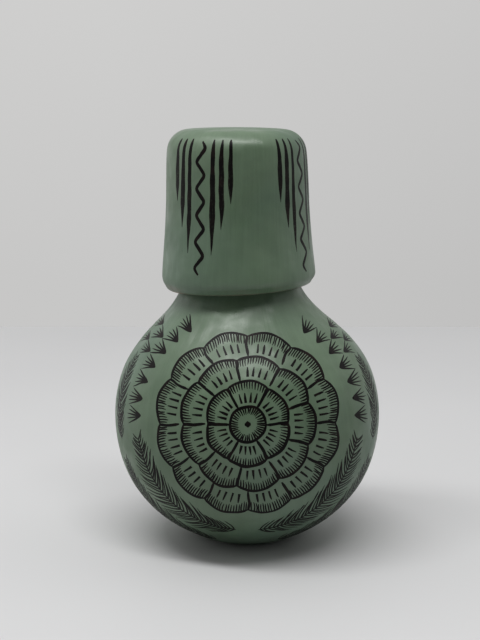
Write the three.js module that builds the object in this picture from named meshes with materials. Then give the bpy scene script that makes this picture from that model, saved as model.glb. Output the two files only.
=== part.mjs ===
// Hand-made clay carafe with its own tumbler. The carafe is a round flask with a narrow
// neck. The tumbler stands upside down over the neck, rests on the lip with its inside
// floor and lifts straight off. Millimetres, +Z up, origin at the middle of the foot.
import * as THREE from 'three';

// ---------------------------------------------------------------- driving dimensions
const FACETS = 48;

// Carafe: outside outline from the edge of the foot to the top of the neck.
const BELLY_RADIUS = 72.7;
const BELLY_HEIGHT = 67;
const FOOT_RADIUS = 24;
const NECK_RADIUS = 25.5;
const LIP_RADIUS = 27.5;
const LIP_HEIGHT = 217.5;
const CARAFE_WALL = 4.5;
const CARAFE_FLOOR = 7;
const CARAFE_STEPS = 24;
const carafeOutline = [
  [FOOT_RADIUS, 0],
  [38.2, 7],
  [52.3, 17.5],
  [63.9, 32],
  [70.5, 49],
  [BELLY_RADIUS, BELLY_HEIGHT],
  [71.1, 82.5],
  [66, 97.5],
  [55.8, 111.5],
  [43.9, 122.5],
  [36.3, 131],
  [31.4, 140],
  [27.6, 154],
  [NECK_RADIUS, 176],
  [26, 200],
  [LIP_RADIUS, LIP_HEIGHT - CARAFE_WALL / 2],
];

// The neck was joined on a little to one side: it drifts off the belly's axis here.
const NECK_DRIFT = -3.6;
const DRIFT_START = 102;
const DRIFT_END = 146;

// Tumbler, as it stands upside down: outside outline from the rim to the corner of its base.
const RIM_HEIGHT = 139;
const TUMBLER_HEIGHT = 84.4;
const TUMBLER_WALL = 4;
const TUMBLER_FLOOR = 5.6;
const BASE_CORNER = 12;
const BASE_RADIUS = 37.2;
const BASE_DOME = 1;
const TUMBLER_STEPS = 10;
const RIM_BAND = 9;
const tumblerOutline = [
  [39.6, TUMBLER_WALL / 2],
  [41.1, 4.4],
  [41.4, 8.2],
  [40, 21],
  [38.4, 42],
  [37.8, 60],
  [BASE_RADIUS, TUMBLER_HEIGHT - BASE_DOME - BASE_CORNER],
];

// It leans a little to -X, and its rim was cut out of square, so its -X side is longer.
const TUMBLER_SHIFT = -4.4;
const TUMBLER_LEAN = -0.018;
const RIM_SLANT = 0.048;
const SLANT_REACH = 14;

const GREEN_SLIP = { color: 0x6f8870, roughness: 0.42, metalness: 0 };
const EDGE_STEPS = 4;
const CORNER_STEPS = 5;

// ------------------------------------------------------------------------- outlines
const point = ([radius, height]) => new THREE.Vector2(radius, height);

function smoothOutline(points, steps) {
  return new THREE.SplineCurve(points.map(point)).getPoints(steps);
}

// The same outline moved towards the inside of the wall by its thickness.
function insetOutline(outline, thickness) {
  return outline.map((place, i) => {
    const before = outline[Math.max(i - 1, 0)];
    const after = outline[Math.min(i + 1, outline.length - 1)];
    const along = after.clone().sub(before).normalize();
    return new THREE.Vector2(place.x - along.y * thickness, place.y + along.x * thickness);
  });
}

// Points of a round edge between the two faces of a wall, without its end points.
// side is 1 for an edge that bulges up and -1 for one that bulges down.
function roundEdge(from, to, side) {
  const middle = from.clone().add(to).multiplyScalar(0.5);
  const radius = from.distanceTo(to) / 2;
  const outwards = Math.sign(from.x - to.x);
  const points = [];
  for (let i = 1; i < EDGE_STEPS; i += 1) {
    const angle = (Math.PI * i) / EDGE_STEPS;
    const x = middle.x + outwards * radius * Math.cos(angle);
    points.push(new THREE.Vector2(x, middle.y + side * radius * Math.sin(angle)));
  }
  return points;
}

// Quarter-round corner that turns from an upright wall into a flat end above it.
function roundCorner(wallRadius, endHeight, radius) {
  const points = [];
  for (let i = 1; i <= CORNER_STEPS; i += 1) {
    const angle = (Math.PI / 2) * (i / CORNER_STEPS);
    const x = wallRadius - radius * (1 - Math.cos(angle));
    points.push(new THREE.Vector2(x, endHeight - radius * (1 - Math.sin(angle))));
  }
  return points;
}

// ----------------------------------------------------------------------- turned solids
// moved(x, z) gives the place of a turned point after hand-made drift, lean and slant.
function turnedMesh(name, profile, moved) {
  const geometry = new THREE.LatheGeometry(profile, FACETS);
  geometry.rotateX(Math.PI / 2);
  const position = geometry.attributes.position;
  for (let i = 0; i < position.count; i += 1) {
    const [x, z] = moved(position.getX(i), position.getZ(i));
    position.setX(i, x);
    position.setZ(i, z);
  }
  geometry.computeVertexNormals();
  const mesh = new THREE.Mesh(geometry, new THREE.MeshStandardMaterial(GREEN_SLIP));
  mesh.name = name;
  return mesh;
}

function makeBottle() {
  const outside = smoothOutline(carafeOutline, CARAFE_STEPS);
  const inset = insetOutline(outside, CARAFE_WALL);
  const inside = inset.filter((place) => place.y > CARAFE_FLOOR + 1).reverse();
  inside[0].set(LIP_RADIUS - CARAFE_WALL, LIP_HEIGHT - CARAFE_WALL / 2);
  const floorEdge = new THREE.Vector2(inside.at(-1).x - CARAFE_WALL, CARAFE_FLOOR);
  const profile = [
    new THREE.Vector2(0, 0),
    ...outside,
    ...roundEdge(outside.at(-1), inside[0], 1),
    ...inside,
    floorEdge,
    new THREE.Vector2(0, CARAFE_FLOOR),
  ];
  return turnedMesh('bottle', profile, (x, z) => {
    const drift = NECK_DRIFT * THREE.MathUtils.smoothstep(z, DRIFT_START, DRIFT_END);
    return [x + drift, z];
  });
}

function makeCup() {
  const outside = smoothOutline(tumblerOutline, TUMBLER_STEPS);
  const inset = insetOutline(outside, TUMBLER_WALL);
  const inside = inset.filter((place) => place.y > RIM_BAND).reverse();
  inside.push(new THREE.Vector2(outside[0].x - TUMBLER_WALL, outside[0].y));
  const innerEnd = TUMBLER_HEIGHT - TUMBLER_FLOOR;
  const innerCorner = innerEnd - inside[0].y;
  const profile = [
    new THREE.Vector2(0, innerEnd),
    ...roundCorner(inside[0].x, innerEnd, innerCorner).reverse(),
    ...inside,
    ...roundEdge(inside.at(-1), outside[0], -1),
    ...outside,
    ...roundCorner(BASE_RADIUS, TUMBLER_HEIGHT - BASE_DOME, BASE_CORNER),
    new THREE.Vector2(0, TUMBLER_HEIGHT),
  ];
  return turnedMesh('cup', profile, (x, z) => {
    const nearRim = 1 - THREE.MathUtils.smoothstep(z, 0, SLANT_REACH);
    const shift = TUMBLER_SHIFT + TUMBLER_LEAN * z;
    return [x + shift, RIM_HEIGHT + z + RIM_SLANT * x * nearRim];
  });
}

const carafe = new THREE.Group();
carafe.add(makeBottle(), makeCup());

export default carafe;
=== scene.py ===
"""Looks of a hand-made clay carafe with its tumbler: burnished green slip, black brushwork.

Everything is in metres, +Z up, and -Y is the front. The brushwork is drawn flat in
millimetres, on a sheet that is laid round the belly or round the tumbler.
"""
import math
import random

import bmesh
import bpy
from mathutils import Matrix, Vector, noise
from mathutils.bvhtree import BVHTree


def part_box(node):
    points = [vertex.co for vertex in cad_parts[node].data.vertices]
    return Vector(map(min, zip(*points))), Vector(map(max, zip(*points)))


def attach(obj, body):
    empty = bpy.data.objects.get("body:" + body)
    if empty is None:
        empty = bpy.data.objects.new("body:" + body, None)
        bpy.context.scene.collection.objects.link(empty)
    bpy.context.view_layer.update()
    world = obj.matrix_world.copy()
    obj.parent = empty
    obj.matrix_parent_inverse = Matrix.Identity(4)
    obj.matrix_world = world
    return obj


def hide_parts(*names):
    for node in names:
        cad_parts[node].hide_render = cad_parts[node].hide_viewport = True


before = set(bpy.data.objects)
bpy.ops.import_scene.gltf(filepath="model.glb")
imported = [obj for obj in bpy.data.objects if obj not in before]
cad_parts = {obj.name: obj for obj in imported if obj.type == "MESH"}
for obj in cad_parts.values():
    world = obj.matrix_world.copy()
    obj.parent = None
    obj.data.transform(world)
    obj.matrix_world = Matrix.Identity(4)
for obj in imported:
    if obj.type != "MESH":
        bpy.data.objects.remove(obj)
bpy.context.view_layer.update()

MM = 0.001

# --------------------------------------------------------------------------- the frame
BOTTLE_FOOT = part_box("bottle")[0].z
CUP_LOW, CUP_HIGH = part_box("cup")
WIDEST = max(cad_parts["bottle"].data.vertices, key=lambda v: math.hypot(v.co.x, v.co.y))
BELLY_RADIUS = math.hypot(WIDEST.co.x, WIDEST.co.y)
BELLY_CENTRE = Vector((0, 0, WIDEST.co.z))
SHOULDER_PART = 0.6
SHOULDER_TOP = BELLY_CENTRE.z + SHOULDER_PART * BELLY_RADIUS
CUP_LEAN = 0.6 * MM
CUP_AXIS_X = (CUP_LOW.x + CUP_HIGH.x) / 2 - CUP_LEAN
CUP_RADIUS = (CUP_HIGH.y - CUP_LOW.y) / 2
CUP_MIDDLE = Vector((CUP_AXIS_X, 0, (CUP_LOW.z + CUP_HIGH.z) / 2))

# ------------------------------------------------------------------- camera and stage
CAMERA_DISTANCE = 0.694
CAMERA_RISE = 0.180
CAMERA_PITCH = math.radians(10.4)
CAMERA_SIDE = -0.0039
CAMERA_LENS = 73.1
FLOOR_BACK = 0.613
FLOOR_SIZE = 3.0
FLOOR_DARK = (0.60, 0.60, 0.604, 1)
FLOOR_LIGHT = (0.65, 0.65, 0.653, 1)
WALL_TONE = (0.555, 0.553, 0.549, 1)
FRONT_GLOW = 0.05
BACK_GLOW = 0.48
LEFT_GLOW = 0.32
RIGHT_GLOW = 0.17
TOP_GLOW = 0.06
KEY_PLACE = (-0.15, -0.43, 1.56)
KEY_SIZE = (1.7, 0.26)
KEY_POWER = 15.8
LIGHT_AIM = Vector((0, 0, 0.11))


def make_camera():
    data = bpy.data.cameras.new("camera")
    data.lens = CAMERA_LENS
    data.sensor_width = 36
    data.dof.use_dof = False
    camera = bpy.data.objects.new("camera", data)
    camera.location = (CAMERA_SIDE, -CAMERA_DISTANCE, BELLY_CENTRE.z + CAMERA_RISE)
    camera.rotation_euler = (math.pi / 2 - CAMERA_PITCH, 0, 0)
    bpy.context.scene.collection.objects.link(camera)
    bpy.context.scene.camera = camera


# ------------------------------------------------------------------------ shader helpers
def new_material(name):
    material = bpy.data.materials.new(name)
    material.use_nodes = True
    tree = material.node_tree
    return material, tree, tree.nodes["Principled BSDF"]


def put(tree, kind, inputs=(), **settings):
    """Adds a node. inputs are (socket, value or other node's output) pairs."""
    node = tree.nodes.new(kind)
    for key, value in settings.items():
        setattr(node, key, value)
    for socket, value in inputs:
        if isinstance(value, bpy.types.NodeSocket):
            tree.links.new(value, node.inputs[socket])
        else:
            node.inputs[socket].default_value = value
    return node


def mix_colour(tree, factor, first, second, how="MIX"):
    node = put(tree, "ShaderNodeMix", data_type="RGBA", blend_type=how)
    for socket, value in ((node.inputs[0], factor), (node.inputs[6], first), (node.inputs[7], second)):
        if isinstance(value, bpy.types.NodeSocket):
            tree.links.new(value, socket)
        else:
            socket.default_value = value
    return node.outputs[2]


def math_node(tree, operation, first, second=0.0, third=0.0):
    inputs = [(0, first), (1, second), (2, third)]
    return put(tree, "ShaderNodeMath", inputs, operation=operation).outputs[0]


def cloud(tree, vector, scale, detail=3.0, roughness=0.5):
    inputs = [("Vector", vector), ("Scale", scale), ("Detail", detail), ("Roughness", roughness)]
    return put(tree, "ShaderNodeTexNoise", inputs).outputs["Fac"]


def spread(tree, value, low, high, to_low=0.0, to_high=1.0):
    inputs = [("Value", value), ("From Min", low), ("From Max", high)]
    inputs += [("To Min", to_low), ("To Max", to_high)]
    return put(tree, "ShaderNodeMapRange", inputs).outputs["Result"]


def attribute(tree, name):
    return put(tree, "ShaderNodeAttribute", attribute_name=name).outputs["Fac"]


def upright_streaks(tree, place, around, along, detail=4.0):
    """Noise drawn out along the meridians: fine round the axis and long up and down it."""
    flat = put(tree, "ShaderNodeVectorMath", [(0, place), (1, (1, 1, 0))], operation="MULTIPLY")
    ring = put(tree, "ShaderNodeVectorMath", [(0, flat.outputs[0])], operation="NORMALIZE")
    wide = put(tree, "ShaderNodeVectorMath", [(0, ring.outputs[0])], operation="SCALE")
    wide.inputs["Scale"].default_value = around
    tall = put(tree, "ShaderNodeVectorMath", [(0, place), (1, (0, 0, along))], operation="MULTIPLY")
    both = put(tree, "ShaderNodeVectorMath", [(0, wide.outputs[0]), (1, tall.outputs[0])])
    return cloud(tree, both.outputs[0], 1.0, detail, 0.6)


# ---------------------------------------------------------------------------- materials
GREEN_DEEP = (0.098, 0.150, 0.094, 1)
GREEN_LIGHT = (0.142, 0.204, 0.134, 1)
GREEN_BLUE = (0.106, 0.166, 0.130, 1)
RIM_WEAR = (0.170, 0.140, 0.108, 1)
CLAY_DARK = (0.21, 0.105, 0.062, 1)
CLAY_LIGHT = (0.33, 0.18, 0.108, 1)
INK_BLACK = (0.0030, 0.0024, 0.0027, 1)
INK_BROWN = (0.024, 0.014, 0.011, 1)
BRISTLE_SCALE = (2.6, 0.09, 1)


def slip_material():
    """Burnished slip outside and bare clay inside, parted by the attribute "inside"."""
    material, tree, shader = new_material("green_slip")
    place = put(tree, "ShaderNodeTexCoord").outputs["Object"]
    patches = spread(tree, cloud(tree, place, 22, 3.0), 0.36, 0.66)
    bluish = spread(tree, cloud(tree, place, 13, 2.0), 0.45, 0.70)
    streaks = upright_streaks(tree, place, 26, 22)
    fine = upright_streaks(tree, place, 120, 60, 2.0)
    grit = cloud(tree, place, 1500, 2.0)
    green = mix_colour(tree, patches, GREEN_DEEP, GREEN_LIGHT)
    green = mix_colour(tree, math_node(tree, "MULTIPLY", bluish, 0.55), green, GREEN_BLUE)
    shade = spread(tree, streaks, 0.3, 0.7, 0.94, 1.05)
    green = mix_colour(tree, 1.0, green, shade, "MULTIPLY")
    pits = spread(tree, grit, 0.66, 0.74, 0.0, 0.35)
    green = mix_colour(tree, pits, green, GREEN_DEEP)
    mottled = spread(tree, cloud(tree, place, 90, 5.0), 0.35, 0.65)
    clay = mix_colour(tree, mottled, CLAY_DARK, CLAY_LIGHT)
    ragged = math_node(tree, "ADD", attribute(tree, "inside"), spread(tree, patches, 0, 1, -0.12, 0.12))
    bare = spread(tree, ragged, 0.45, 0.55)
    worn = spread(tree, ragged, 0.26, 0.40, 0.0, 0.55)
    green = mix_colour(tree, worn, green, RIM_WEAR)
    tree.links.new(mix_colour(tree, bare, green, clay), shader.inputs["Base Color"])
    rubbed = spread(tree, cloud(tree, place, 75, 2.0), 0.38, 0.62, 0.34, 0.50)
    gloss = math_node(tree, "ADD", rubbed, spread(tree, streaks, 0.25, 0.75, -0.03, 0.04))
    dull = math_node(tree, "MAXIMUM", gloss, math_node(tree, "MULTIPLY", bare, 0.85))
    tree.links.new(dull, shader.inputs["Roughness"])
    shader.inputs["Specular IOR Level"].default_value = 0.65
    facets = cloud(tree, place, 95, 1.0)
    height = facets
    for relief, depth in ((streaks, 0.1), (fine, 0.02), (grit, 0.012)):
        height = math_node(tree, "MULTIPLY_ADD", relief, depth, height)
    bump = put(tree, "ShaderNodeBump", [("Height", height), ("Strength", 0.9), ("Distance", 1.0 * MM)])
    tree.links.new(bump.outputs["Normal"], shader.inputs["Normal"])
    return material


def ink_material():
    """Brushed pigment: black in the body of a stroke, brown where it runs thin.

    The attribute "stroke" holds the place across a stroke, the length along it in
    millimetres and a number that differs from stroke to stroke.
    """
    material, tree, shader = new_material("black_line")
    place = put(tree, "ShaderNodeTexCoord").outputs["Object"]
    stroke = put(tree, "ShaderNodeAttribute", attribute_name="stroke").outputs["Vector"]
    across = put(tree, "ShaderNodeSeparateXYZ", [(0, stroke)]).outputs[0]
    thin = spread(tree, math_node(tree, "ABSOLUTE", across), 0.6, 1.0, 0.0, 0.4)
    blots = spread(tree, cloud(tree, place, 160, 4.0), 0.48, 0.72, 0.0, 0.6)
    lengthwise = [(0, stroke), (1, BRISTLE_SCALE)]
    hairs = put(tree, "ShaderNodeVectorMath", lengthwise, operation="MULTIPLY")
    bristles = cloud(tree, hairs.outputs[0], 1.0, 3.0)
    dry = math_node(tree, "MULTIPLY", attribute(tree, "dry"), spread(tree, bristles, 0.46, 0.60))
    brown = math_node(tree, "MAXIMUM", math_node(tree, "MAXIMUM", thin, blots), dry)
    ink = mix_colour(tree, brown, INK_BLACK, INK_BROWN)
    skips = spread(tree, cloud(tree, place, 700, 2.0), 0.5, 0.62, 0.0, 0.6)
    bare = math_node(tree, "MULTIPLY", dry, skips)
    ink = mix_colour(tree, bare, ink, GREEN_DEEP)
    tree.links.new(ink, shader.inputs["Base Color"])
    tree.links.new(spread(tree, bristles, 0.3, 0.7, 0.36, 0.50), shader.inputs["Roughness"])
    shader.inputs["Specular IOR Level"].default_value = 0.2
    relief = [("Height", bristles), ("Strength", 0.2), ("Distance", 0.1 * MM)]
    bump = put(tree, "ShaderNodeBump", relief)
    tree.links.new(bump.outputs["Normal"], shader.inputs["Normal"])
    return material


# ------------------------------------------------------------------------- clay surfaces
SMOOTH_LEVELS = 2
FLAT_ENOUGH = math.radians(35)
HAND_WAVE = 0.22 * MM
HAND_WAVE_PER_METRE = 24
RIM_BAND = 8 * MM
RIM_RUBBED = 0.5


def inner_side(place, normal, node):
    """1 where the surface faces the hollow, 0 where it faces out, and between on a lip.

    The underside of the tumbler's rim counts as partly inside, where its slip is rubbed off.
    """
    if node == "cup":
        middle = CUP_MIDDLE
    elif place.z < SHOULDER_TOP:
        middle = BELLY_CENTRE
    else:
        middle = Vector((CUP_AXIS_X, 0, place.z))
    facing = normal.dot((place - middle).normalized())
    if node == "cup" and place.z < CUP_LOW.z + RIM_BAND:
        facing = min(facing, 0.5 - RIM_RUBBED * max(-normal.z, 0))
    return min(max(0.5 - facing, 0.0), 1.0)


def clay_surface(node, material):
    """A fine, slightly uneven copy of a CAD solid that stands in its place."""
    work = bmesh.new()
    work.from_mesh(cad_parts[node].data)
    bmesh.ops.remove_doubles(work, verts=work.verts, dist=0.001 * MM)
    bmesh.ops.join_triangles(
        work, faces=work.faces, angle_face_threshold=FLAT_ENOUGH, angle_shape_threshold=math.pi
    )
    coarse = bpy.data.meshes.new(node + "_coarse")
    work.to_mesh(coarse)
    work.free()
    piece = bpy.data.objects.new(node + "_clay", coarse)
    bpy.context.scene.collection.objects.link(piece)
    smooth = piece.modifiers.new("smooth", "SUBSURF")
    smooth.levels = SMOOTH_LEVELS
    smooth.render_levels = SMOOTH_LEVELS
    shown = piece.evaluated_get(bpy.context.evaluated_depsgraph_get())
    fine = bpy.data.meshes.new_from_object(shown)
    piece.modifiers.clear()
    piece.data = fine
    bpy.data.meshes.remove(coarse)
    normals = [vertex.normal.copy() for vertex in fine.vertices]
    inside = fine.attributes.new("inside", "FLOAT", "POINT")
    for vertex, normal in zip(fine.vertices, normals):
        inside.data[vertex.index].value = inner_side(vertex.co, normal, node)
        if vertex.co.z > HAND_WAVE:
            wave = noise.noise(vertex.co * HAND_WAVE_PER_METRE)
            vertex.co += normal * wave * HAND_WAVE
    fine.shade_smooth()
    fine.materials.clear()
    fine.materials.append(material)
    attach(piece, node)
    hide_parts(node)
    return piece


def ray_tree(piece):
    mesh = piece.data
    places = [vertex.co.copy() for vertex in mesh.vertices]
    return BVHTree.FromPolygons(places, [tuple(face.vertices) for face in mesh.polygons])


# ------------------------------------------------------------------------------ brushes
STROKE_RISE = 0.06 * MM
STROKE_SINK = 0.05 * MM
STROKE_STEP = 1.8
COLUMN_WIDTH = 1.9
POINT_WIDTH = 0.16
WIDTH_NOISE = 0.22
UNSTEADY = 0.75
UNSTEADY_PER_MM = 0.11


def smooth_line(points, step):
    """Points about one step apart on a smooth line through the given ones."""
    points = [Vector(p) for p in points]
    ends = [2 * points[0] - points[1]] + points + [2 * points[-1] - points[-2]]
    line = []
    for before, start, end, after in zip(ends, ends[1:], ends[2:], ends[3:]):
        count = max(1, round((end - start).length / step))
        for i in range(count):
            t = i / count
            bend = (
                2 * start
                + (end - before) * t
                + (2 * before - 5 * start + 4 * end - after) * t * t
                + (3 * start - before - 3 * end + after) * t ** 3
            )
            line.append(bend / 2)
    line.append(points[-1])
    return line


# How hard the brush is pressed at part t of a stroke, from 0 to 1.
def swelling(t):
    return math.sin(math.pi * min(max(t, 0.03), 0.97)) ** 0.55


def trailing(t):
    """Down at once, heaviest past the middle and drawn out to a point."""
    swell = 0.55 + 0.45 * math.sin(math.pi * min(t / 1.2, 1))
    return swell * min(1, (4 * (1 - t)) ** 0.8, 0.45 + 14 * t)


def feathered(t):
    return (1 - 0.55 * t) * min(1.0, 0.5 + 6 * t, 0.25 + 4 * (1 - t))


def even(t):
    return min(1.0, 0.45 + 12 * t, 0.45 + 12 * (1 - t))


def blunt(t):
    return (1 - 0.25 * t) * min(1.0, 0.45 + 6 * (1 - t))


class Brush:
    """Draws strokes on a sheet that is laid on a surface and makes one thin mesh of them."""

    def __init__(self, name, sheet, seed, unsteadiness=UNSTEADY):
        self.name = name
        self.sheet = sheet
        self.unsteadiness = unsteadiness
        self.chance = random.Random(seed)
        self.hand = seed * 0.37
        self.places = []
        self.faces = []
        self.marks = []
        self.dry = []

    def stroke(self, points, width, press=swelling, dryness=0.0, step=STROKE_STEP):
        line = [self.unsteady(point) for point in smooth_line(points, step)]
        columns = max(1, math.ceil(width / COLUMN_WIDTH))
        wide = width * self.chance.uniform(0.88, 1.12)
        which = self.chance.uniform(0, 90)
        first = len(self.places)
        for i, here in enumerate(line):
            t = i / (len(line) - 1)
            along = (line[min(i + 1, len(line) - 1)] - line[max(i - 1, 0)]).normalized()
            side = Vector((-along.y, along.x))
            uneven = 1 + WIDTH_NOISE * noise.noise(Vector((here.x * 0.2, here.y * 0.2, which)))
            half = max(wide * press(t) * uneven, POINT_WIDTH) / 2
            for column in range(columns + 1):
                across = 2 * column / columns - 1
                place, normal = self.sheet(here + side * half * across)
                self.places += [place + normal * STROKE_RISE, place - normal * STROKE_SINK]
                self.marks += [across, i * step, which] * 2
                self.dry += [dryness * t] * 2
        self._close(first, len(line), columns)

    def unsteady(self, point):
        """The point where a hand that is not quite steady puts it."""
        x, y = point.x * UNSTEADY_PER_MM, point.y * UNSTEADY_PER_MM
        along = Vector((x, y, self.hand))
        across = Vector((y, x, self.hand + 7))
        return point + Vector((noise.noise(along), noise.noise(across))) * self.unsteadiness

    def _close(self, first, rows, columns):
        def top(row, column):
            return first + 2 * (row * (columns + 1) + column)

        for row in range(rows - 1):
            for column in range(columns):
                a, b = top(row, column), top(row, column + 1)
                c, d = top(row + 1, column + 1), top(row + 1, column)
                self.faces += [(a, d, c, b), (a + 1, b + 1, c + 1, d + 1)]
            for column, turn in ((0, 1), (columns, -1)):
                a, b = top(row, column), top(row + 1, column)
                self.faces.append((a, a + 1, b + 1, b)[::turn])
        for row, turn in ((0, 1), (rows - 1, -1)):
            for column in range(columns):
                a, b = top(row, column), top(row, column + 1)
                self.faces.append((a, b, b + 1, a + 1)[::turn])

    def comb(self, line, inwards, length, gap, width):
        """Short hatching strokes that start on a line, one every gap."""
        walked = gap / 2
        for start, end in zip(line, line[1:]):
            part = (end - start).length
            while walked < part:
                root = start.lerp(end, walked / part)
                aim = inwards(root, (end - start).normalized())
                reach = aim * length * self.chance.uniform(0.88, 1.06)
                bend = Vector((-reach.y, reach.x)) * self.chance.uniform(-0.06, 0.06)
                self.stroke([root, root + reach * 0.5 + bend, root + reach], width, blunt)
                walked += gap * self.chance.uniform(0.94, 1.06)
            walked -= part

    def finish(self, body, material):
        mesh = bpy.data.meshes.new(self.name)
        mesh.from_pydata(self.places, [], self.faces)
        mesh.attributes.new("stroke", "FLOAT_VECTOR", "POINT").data.foreach_set("vector", self.marks)
        mesh.attributes.new("dry", "FLOAT", "POINT").data.foreach_set("value", self.dry)
        mesh.shade_smooth()
        mesh.set_sharp_from_angle(angle=math.radians(40))
        mesh.materials.append(material)
        piece = bpy.data.objects.new(self.name, mesh)
        bpy.context.scene.collection.objects.link(piece)
        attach(piece, body)


# ------------------------------------------------------- sheets that drawings are laid on
RAY_START = 0.15


def belly_sheet(tree, azimuth, tilt):
    """A sheet round the belly. Its origin faces azimuth (0 is the front) and tilt above level."""
    flat, rise = math.cos(tilt), math.sin(tilt)
    outward = Vector((math.sin(azimuth) * flat, -math.cos(azimuth) * flat, rise))
    right = Vector((math.cos(azimuth), math.sin(azimuth), 0))
    up = outward.cross(right)

    def lay(point):
        reach = max(point.length, 1e-6)
        angle = reach * MM / BELLY_RADIUS
        sideways = (right * point.x + up * point.y) / reach
        aim = outward * math.cos(angle) + sideways * math.sin(angle)
        place, normal, _, _ = tree.ray_cast(BELLY_CENTRE + aim * RAY_START, -aim)
        return place, normal

    return lay


def tumbler_sheet(tree, azimuth):
    """A sheet round the tumbler. y is the height above its lowest point."""

    def lay(point):
        angle = azimuth + point.x * MM / CUP_RADIUS
        aim = Vector((math.sin(angle), -math.cos(angle), 0))
        level = Vector((CUP_AXIS_X, 0, CUP_LOW.z + point.y * MM))
        place, normal, _, _ = tree.ray_cast(level + aim * RAY_START, -aim)
        return place, normal

    return lay


# ---------------------------------------------------------------------- flat shapes, in mm
def turned(vector, degrees):
    angle = math.radians(degrees)
    c, s = math.cos(angle), math.sin(angle)
    return Vector((vector.x * c - vector.y * s, vector.x * s + vector.y * c))


def around(radius, degrees):
    """A point at this distance from the flower's middle. 0 degrees is to the right."""
    return FLOWER_MIDDLE + turned(Vector((radius, 0)), degrees)


def bow(start, end, bulge):
    """A bow from start to end that swells outwards by bulge parts of its length."""
    chord = end - start
    side = Vector((chord.y, -chord.x))
    line = []
    for i in range(BOW_POINTS + 1):
        t = i / BOW_POINTS
        line.append(start + chord * t + side * bulge * 4 * t * (1 - t))
    return line


def to_middle(root, along):
    return (FLOWER_MIDDLE - root).normalized()


# ----------------------------------------------------------------------------- the rosette
FLOWER_TILT = math.radians(14.5)
FLOWER_MIDDLE = Vector((0, -5))
CENTRE_RADIUS = 9
CENTRE_HATCHING = 4.0
# Rings of equal round petals, from the inside out: inner and outer radius, number of petals,
# how many petals the ring is turned by, and how long its hatching is.
RINGS = (
    (9, 22, 6, 0.0, 4.2),
    (22, 36, 9, 0.5, 5.0),
    (36, 52, 12, 0.0, 6.5),
)
NOTCH = 0.93
PETAL_BULGE = 0.2
BOW_POINTS = 14
LINE_WIDTH = 1.45
COMB_WIDTH = 0.86
COMB_GAP = 1.5
VEINS = (0.24, 0.41, 0.59, 0.76)
VEIN_START = 2
VEIN_WIDTH = 1.2
VEIN_PART = 0.36


def draw_centre(brush):
    rim = [around(CENTRE_RADIUS, 30 * i) for i in range(13)]
    brush.stroke(rim, LINE_WIDTH, even)
    brush.comb(smooth_line(rim, 1.5), to_middle, CENTRE_HATCHING, COMB_GAP, COMB_WIDTH)
    brush.stroke([around(1.6, 180), FLOWER_MIDDLE, around(1.6, 0)], 3.4)


def draw_ring(brush, inner, outer, count, turn, hatching):
    """A ring of petals with hatched edges, folds between them and veins at their roots."""
    pitch = 360 / count
    for i in range(count):
        start = pitch * (i + turn)
        first, last = around(outer * NOTCH, start), around(outer * NOTCH, start + pitch)
        edge = bow(first, last, PETAL_BULGE)
        brush.stroke(edge, LINE_WIDTH, even)
        brush.comb(edge, to_middle, hatching, COMB_GAP, COMB_WIDTH)
        fold = [first, around((inner + outer) / 2, start + 1), around(inner, start)]
        brush.stroke(fold, LINE_WIDTH, even)
        for part in VEINS:
            low, degrees = inner + VEIN_START, start + pitch * part
            root = around(low, degrees)
            tip = around(low + (outer - inner) * VEIN_PART, degrees)
            brush.stroke([root, root.lerp(tip, 0.5), tip], VEIN_WIDTH, blunt)


# ------------------------------------------------------------------------ ferns and sprigs
# On each side of the flower: the radius of a fern's midrib, the angles it runs between and
# its width. Angles are negative below the flower's middle.
FERNS = (
    (67, -84, -8, 17),
    (90, -76, -18, 16),
    (88, -8, 30, 13),
)
FERN_STEPS = 5
FERN_GAP = 2.4
FERN_LEAN = 42
FERN_STROKE = 1.2
# Rows of sprigs: the radius and the angle of the first sprig.
SPRIG_ROWS = ((63, 4), (76, 36), (88, 40))
SPRIG_PITCH = 9
SPRIG_LENGTH = 13
SPRIG_STROKE = 1.4
SPRIG_OPENINGS = (-26, -13, 0, 13, 26)
SPRIG_HIGHEST = math.radians(50)


def draw_fern(brush, rib, width):
    """A feathery leaf: a midrib with oblique hatching on both sides."""
    line = smooth_line(rib, 1.5)
    brush.stroke(rib, 0.95, even)
    length = sum((b - a).length for a, b in zip(line, line[1:]))
    walked, done = 1.0, 0.0
    for start, end in zip(line, line[1:]):
        part = (end - start).length
        along = (end - start).normalized()
        while walked < part:
            t = (done + walked) / length
            reach = width * (0.35 + 0.65 * math.sin(math.pi * min(0.97, 0.14 + t * 0.84)))
            root = start + along * walked
            for side in (1, -1):
                aim = turned(along, side * FERN_LEAN * brush.chance.uniform(0.88, 1.12))
                tip = root + aim * reach * brush.chance.uniform(0.82, 1.1)
                bend = root.lerp(tip, 0.5) - along * reach * 0.08
                brush.stroke([root, bend, tip], FERN_STROKE, feathered)
            walked += FERN_GAP * brush.chance.uniform(0.85, 1.15)
        walked -= part
        done += part


def draw_sprig(brush, root, degrees):
    """A fan of strokes that meet in one point."""
    for opening in SPRIG_OPENINGS:
        aim = turned(Vector((1, 0)), degrees + opening)
        tip = root + aim * SPRIG_LENGTH * brush.chance.uniform(0.9, 1.1)
        brush.stroke([root, root.lerp(tip, 0.5), tip], SPRIG_STROKE, feathered)


def latitude(point):
    """How high above the belly's widest level a point of the flower's sheet lies."""
    angle = point.length * MM / BELLY_RADIUS
    up = math.sin(angle) * point.y / max(point.length, 1e-6)
    return math.asin(math.cos(angle) * math.sin(FLOWER_TILT) + up * math.cos(FLOWER_TILT))


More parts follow.
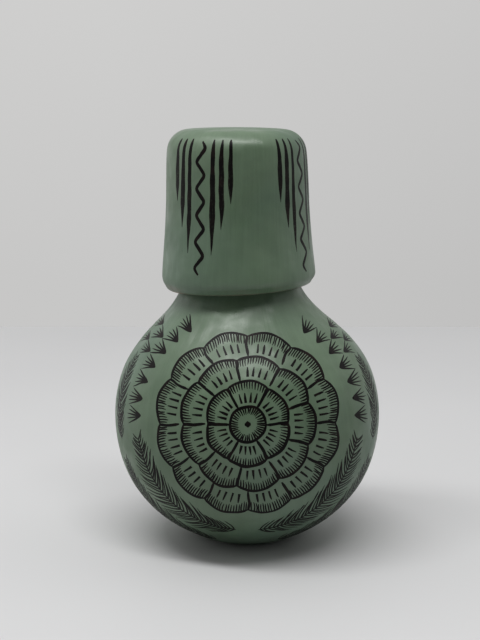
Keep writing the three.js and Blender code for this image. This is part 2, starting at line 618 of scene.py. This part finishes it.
def draw_wreath(brush):
    """Ferns beside and under the flower and rows of sprigs above them, the same on each side."""
    for radius, start, end, width in FERNS:
        steps = [start + (end - start) * i / FERN_STEPS for i in range(FERN_STEPS + 1)]
        draw_fern(brush, [around(radius, degrees) for degrees in steps], width)
        draw_fern(brush, [around(radius, 180 - degrees) for degrees in steps], width)
    for radius, first in SPRIG_ROWS:
        for degrees in range(first, 90, SPRIG_PITCH):
            for angle in (degrees, 180 - degrees):
                root = around(radius, angle)
                if latitude(root) < SPRIG_HIGHEST:
                    draw_sprig(brush, root, angle)


def draw_flower(name, tree, azimuth, seed, material):
    sheet = belly_sheet(tree, azimuth, FLOWER_TILT)
    flower = Brush(name + "_flower", sheet, seed)
    draw_centre(flower)
    for ring in RINGS:
        draw_ring(flower, *ring)
    flower.finish("bottle", material)
    leaves = Brush(name + "_leaves", sheet, seed + 1)
    draw_wreath(leaves)
    leaves.finish("bottle", material)


# ------------------------------------------------------------------- the tumbler's strokes
BAND_AZIMUTHS = (-30, 60, 150, 240)
WAVE_TOP = 80
WAVE_STEP = 3.4
WAVE_POINTS = 21
WAVE_REACH = 2.3
WAVE_WIDTH = 1.8
SIDE_STROKES = 3
SIDE_TOP = 81
SIDE_FIRST = 7.5
SIDE_PITCH = 5.2
SIDE_LENGTH = 58
SIDE_SHORTER = 13
SIDE_WIDTH = 3.0
TUMBLER_UNSTEADY = 0.4


def draw_band(brush):
    """A plain wavy line with straight strokes beside it, shorter the farther they stand."""
    wave = []
    for i in range(WAVE_POINTS):
        wave.append((WAVE_REACH * math.sin(math.pi * i / 2), WAVE_TOP - WAVE_STEP * i))
    brush.stroke(wave, WAVE_WIDTH, even, step=0.8)
    for side in (-1, 1):
        for i in range(SIDE_STROKES):
            x = side * (SIDE_FIRST + SIDE_PITCH * i)
            low = SIDE_TOP - SIDE_LENGTH + SIDE_SHORTER * i
            line = [(x, SIDE_TOP), (x, (SIDE_TOP + low) / 2), (x, low)]
            brush.stroke(line, SIDE_WIDTH, trailing, 0.45, step=1.2)


def draw_tumbler(tree, material):
    for i, degrees in enumerate(BAND_AZIMUTHS):
        sheet = tumbler_sheet(tree, math.radians(degrees))
        brush = Brush("cup_band_%d" % (i + 1), sheet, 70 + i, TUMBLER_UNSTEADY)
        draw_band(brush)
        brush.finish("cup", material)


# ---------------------------------------------------------------------------- the studio
def make_floor():
    mesh = bpy.data.meshes.new("floor")
    size, far, level = FLOOR_SIZE, FLOOR_BACK, BOTTLE_FOOT
    corners = [(-size, -size, level), (size, -size, level), (size, far, level), (-size, far, level)]
    mesh.from_pydata(corners, [], [(0, 1, 2, 3)])
    floor = bpy.data.objects.new("floor", mesh)
    bpy.context.scene.collection.objects.link(floor)
    material, tree, shader = new_material("floor_card")
    place = put(tree, "ShaderNodeTexCoord").outputs["Object"]
    tone = mix_colour(tree, cloud(tree, place, 4, 2.0), FLOOR_DARK, FLOOR_LIGHT)
    tree.links.new(tone, shader.inputs["Base Color"])
    shader.inputs["Roughness"].default_value = 0.6
    mesh.materials.append(material)


def make_light(name, place, size, power):
    data = bpy.data.lights.new(name, "AREA")
    data.shape = "RECTANGLE"
    data.size, data.size_y = size
    data.energy = power
    light = bpy.data.objects.new(name, data)
    light.location = place
    light.rotation_euler = (LIGHT_AIM - Vector(place)).to_track_quat("-Z", "Y").to_euler()
    bpy.context.scene.collection.objects.link(light)


def make_world():
    """A pale wall, a little darker low down and to the right. It lights the part from behind,
    from both sides and a little from above and in front.
    """
    world = bpy.data.worlds.new("studio")
    world.use_nodes = True
    tree = world.node_tree
    background = tree.nodes["Background"]
    toward = put(tree, "ShaderNodeTexCoord").outputs["Generated"]
    split = put(tree, "ShaderNodeSeparateXYZ", [(0, toward)])
    behind = spread(tree, split.outputs[1], -0.6, 0.1, FRONT_GLOW, BACK_GLOW)
    left = spread(tree, split.outputs[0], 0.0, -1.0, 0.0, LEFT_GLOW)
    right = spread(tree, split.outputs[0], 0.3, 1.0, 0.0, RIGHT_GLOW)
    above = spread(tree, split.outputs[2], 0.2, 1.0, 0.0, TOP_GLOW)
    glow = behind
    for more in (left, right, above):
        glow = math_node(tree, "ADD", glow, more)
    shade = spread(tree, split.outputs[2], -0.15, 0.15, 0.90, 1.0)
    shade = math_node(tree, "SUBTRACT", shade, spread(tree, split.outputs[0], -0.1, 0.2, 0.0, 0.06))
    wall = mix_colour(tree, 1.0, WALL_TONE, shade, "MULTIPLY")
    seen = put(tree, "ShaderNodeLightPath").outputs["Is Camera Ray"]
    level = mix_colour(tree, seen, glow, wall)
    tree.links.new(level, background.inputs["Color"])
    bpy.context.scene.world = world


def make_studio():
    make_floor()
    make_world()
    make_light("key", KEY_PLACE, KEY_SIZE, KEY_POWER)
    bpy.context.scene.view_settings.view_transform = "Standard"
    bpy.context.scene.view_settings.look = "Medium High Contrast"


# ------------------------------------------------------------------------------- the build
make_camera()
make_studio()
slip = slip_material()
ink = ink_material()
bottle = clay_surface("bottle", slip)
cup = clay_surface("cup", slip)
belly_rays = ray_tree(bottle)
draw_flower("front", belly_rays, 0.0, 11, ink)
draw_flower("back", belly_rays, math.pi, 21, ink)
draw_tumbler(ray_tree(cup), ink)
